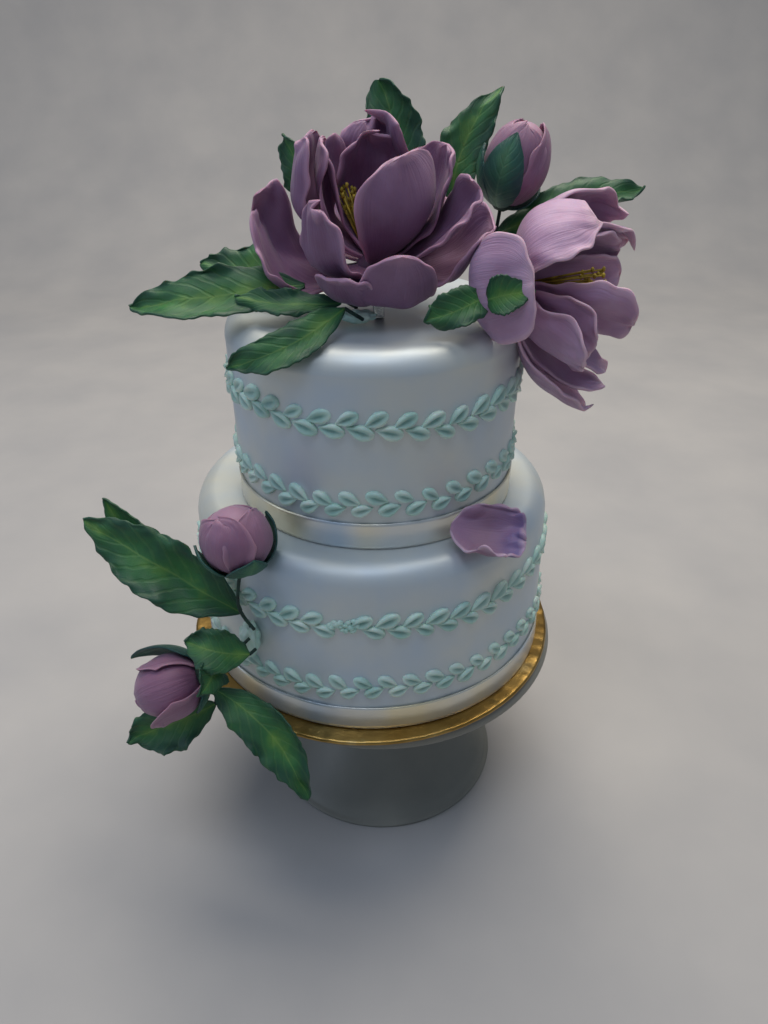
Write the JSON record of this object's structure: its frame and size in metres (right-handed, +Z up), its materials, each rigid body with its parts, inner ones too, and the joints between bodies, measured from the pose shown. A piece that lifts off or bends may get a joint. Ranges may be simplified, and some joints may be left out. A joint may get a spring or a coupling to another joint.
{
  "type": "wedding cake",
  "caption": "Tiered wedding cake in pearl icing with piped leaf borders, satin ribbons and sugar flowers, on a gold card and a round stand",
  "frame": {"origin": "on the floor, the stand's underside, straight below the middle of the tiers", "axes": "+Z up; -Y toward the side with the spray of leaves and buds at its left, the side in the picture; +X to that viewer's right"},
  "size_m": [0.2916, 0.2515, 0.4292],
  "materials": {
    "stand_paint": "satin warm grey",
    "gold_card": "gold foil with a crimped rim",
    "pearl_icing": "rolled icing brushed with pearl lustre",
    "satin_ribbon": "ivory satin",
    "mint_icing": "piped icing, satin",
    "mauve_paste": "dusted sugar paste, matte",
    "lilac_paste": "dusted sugar paste, matte",
    "yellow_paste": "sugar paste, matte",
    "leaf_paste": "dusted sugar paste, satin",
    "clear_plastic": "translucent"
  },
  "bodies": {
    "root": {"bud_lower_left": "mauve_paste", "bud_top": "mauve_paste", "bud_upper_left": "mauve_paste", "cake_card": "gold_card", "calyx_lower_left": "leaf_paste", "calyx_top": "leaf_paste", "calyx_upper_left": "leaf_paste", "flower_lilac": "lilac_paste", "flower_mauve_inner": "mauve_paste", "flower_mauve_outer": "mauve_paste", "flower_pick": "clear_plastic", "icing_blob_side": "mint_icing", "icing_blob_top": "mint_icing", "leaf_side_bud_sepal": "leaf_paste", "leaf_side_lower_left": "leaf_paste", "leaf_side_lower_right": "leaf_paste", "leaf_side_middle": "leaf_paste", "leaf_side_upper_back": "leaf_paste", "leaf_side_upper_long": "leaf_paste", "leaf_top_back_left": "leaf_paste", "leaf_top_back_middle": "leaf_paste", "leaf_top_back_right": "leaf_paste", "leaf_top_far_right": "leaf_paste", "leaf_top_front_left": "leaf_paste", "leaf_top_front_right": "leaf_paste", "leaf_top_front_small": "leaf_paste", "leaf_top_left_high": "leaf_paste", "leaf_top_left_long": "leaf_paste", "leaf_top_left_low": "leaf_paste", "loose_petal": "lilac_paste", "ribbon_bottom": "satin_ribbon", "ribbon_top": "satin_ribbon", "stamens_lilac": "yellow_paste", "stamens_mauve": "yellow_paste", "stand": "stand_paint", "tier_bottom": "pearl_icing", "tier_top": "pearl_icing"}
  },
  "joints": []
}
